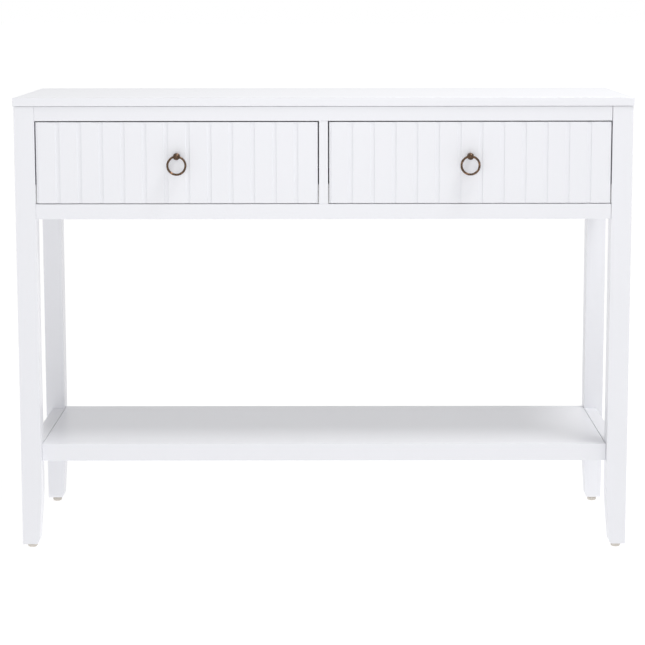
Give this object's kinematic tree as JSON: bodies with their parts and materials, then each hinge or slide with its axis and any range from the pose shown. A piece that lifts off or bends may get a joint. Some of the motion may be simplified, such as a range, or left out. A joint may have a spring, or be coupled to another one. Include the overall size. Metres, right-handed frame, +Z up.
{
  "type": "console table",
  "caption": "Narrow console table with inset channelled drawers on ring pulls, square tapered legs and a low shelf.",
  "frame": {"origin": "on the floor under the middle of the whole table, pulls included", "axes": "+X to the right seen from the front, -Y towards the front (the drawers face it), +Z up"},
  "size_m": [1.1, 0.3662, 0.82],
  "materials": {
    "white_lacquer": "satin white lacquer",
    "drawer_board": "matt white board",
    "birch": "plain birch",
    "slide_enamel": "white epoxy enamel",
    "roller_nylon": "smooth white nylon",
    "zinc": "zinc plated",
    "aged_bronze": "aged bronze, rubbed bright on the high spots",
    "glide_plastic": "pale felt-topped plastic"
  },
  "bodies": {
    "root": {"back_apron": "white_lacquer", "bracket_screws": "zinc", "centre_partition": "white_lacquer", "cleat_screws": "zinc", "foot_glides": "glide_plastic", "frame_dowels": "birch", "front_axles": "zinc", "front_bottom_rail": "white_lacquer", "front_left_leg": "white_lacquer", "front_right_leg": "white_lacquer", "front_top_rail": "white_lacquer", "left_inner_track": "slide_enamel", "left_outer_track": "slide_enamel", "left_side_apron": "white_lacquer", "left_slide_batten": "drawer_board", "rear_left_leg": "white_lacquer", "rear_right_leg": "white_lacquer", "right_inner_track": "slide_enamel", "right_outer_track": "slide_enamel", "right_side_apron": "white_lacquer", "right_slide_batten": "drawer_board", "shelf_cleats": "drawer_board", "shelf_front_rail": "white_lacquer", "shelf_left_rail": "white_lacquer", "shelf_panel": "white_lacquer", "shelf_rear_rail": "white_lacquer", "shelf_right_rail": "white_lacquer", "top_brackets": "zinc", "top_panel": "white_lacquer", "track_screws": "zinc"},
    "left_drawer": {"left_drawer_back": "drawer_board", "left_drawer_bottom": "drawer_board", "left_drawer_dowels": "birch", "left_drawer_front": "white_lacquer", "left_drawer_inner_side": "drawer_board", "left_drawer_outer_side": "drawer_board", "left_inner_runner": "slide_enamel", "left_outer_runner": "slide_enamel", "left_pull_post": "aged_bronze", "left_pull_screw": "zinc", "left_rear_axles": "zinc", "left_runner_screws": "zinc"},
    "left_ring": {"left_pull_ring": "aged_bronze"},
    "left_front_rollers": {"left_front_rollers": "roller_nylon"},
    "left_rear_rollers": {"left_rear_rollers": "roller_nylon"},
    "right_drawer": {"right_drawer_back": "drawer_board", "right_drawer_bottom": "drawer_board", "right_drawer_dowels": "birch", "right_drawer_front": "white_lacquer", "right_drawer_inner_side": "drawer_board", "right_drawer_outer_side": "drawer_board", "right_inner_runner": "slide_enamel", "right_outer_runner": "slide_enamel", "right_pull_post": "aged_bronze", "right_pull_screw": "zinc", "right_rear_axles": "zinc", "right_runner_screws": "zinc"},
    "right_ring": {"right_pull_ring": "aged_bronze"},
    "right_front_rollers": {"right_front_rollers": "roller_nylon"},
    "right_rear_rollers": {"right_rear_rollers": "roller_nylon"}
  },
  "joints": [
    {"name": "left_drawer_slide", "type": "slide", "parent": "root", "child": "left_drawer", "axis": [0, -1, 0], "range_m": [0, 0.22]},
    {"name": "left_ring_swing", "type": "hinge", "parent": "left_drawer", "child": "left_ring", "pos_m": [-0.26025, -0.17688, 0.71675], "axis": [-1, 0, 0], "range_deg": [-14, 194]},
    {"name": "left_front_roller_spin", "type": "hinge", "parent": "root", "child": "left_front_rollers", "pos_m": [-0.26025, -0.12987, 0.6495], "axis": [1, 0, 0], "continuous": true},
    {"name": "left_rear_roller_spin", "type": "hinge", "parent": "left_drawer", "child": "left_rear_rollers", "pos_m": [-0.26025, 0.14213, 0.6445], "axis": [1, 0, 0], "continuous": true},
    {"name": "right_drawer_slide", "type": "slide", "parent": "root", "child": "right_drawer", "axis": [0, -1, 0], "range_m": [0, 0.22]},
    {"name": "right_ring_swing", "type": "hinge", "parent": "right_drawer", "child": "right_ring", "pos_m": [0.26025, -0.17688, 0.71675], "axis": [-1, 0, 0], "range_deg": [-14, 194]},
    {"name": "right_front_roller_spin", "type": "hinge", "parent": "root", "child": "right_front_rollers", "pos_m": [0.26025, -0.12987, 0.6495], "axis": [1, 0, 0], "continuous": true},
    {"name": "right_rear_roller_spin", "type": "hinge", "parent": "right_drawer", "child": "right_rear_rollers", "pos_m": [0.26025, 0.14213, 0.6445], "axis": [1, 0, 0], "continuous": true}
  ],
  "couplings": [
    {"joint": "left_front_roller_spin", "follows": "left_drawer_slide", "rad_per_m": 90.909},
    {"joint": "left_rear_roller_spin", "follows": "left_drawer_slide", "rad_per_m": 90.909},
    {"joint": "right_front_roller_spin", "follows": "right_drawer_slide", "rad_per_m": 90.909},
    {"joint": "right_rear_roller_spin", "follows": "right_drawer_slide", "rad_per_m": 90.909}
  ]
}
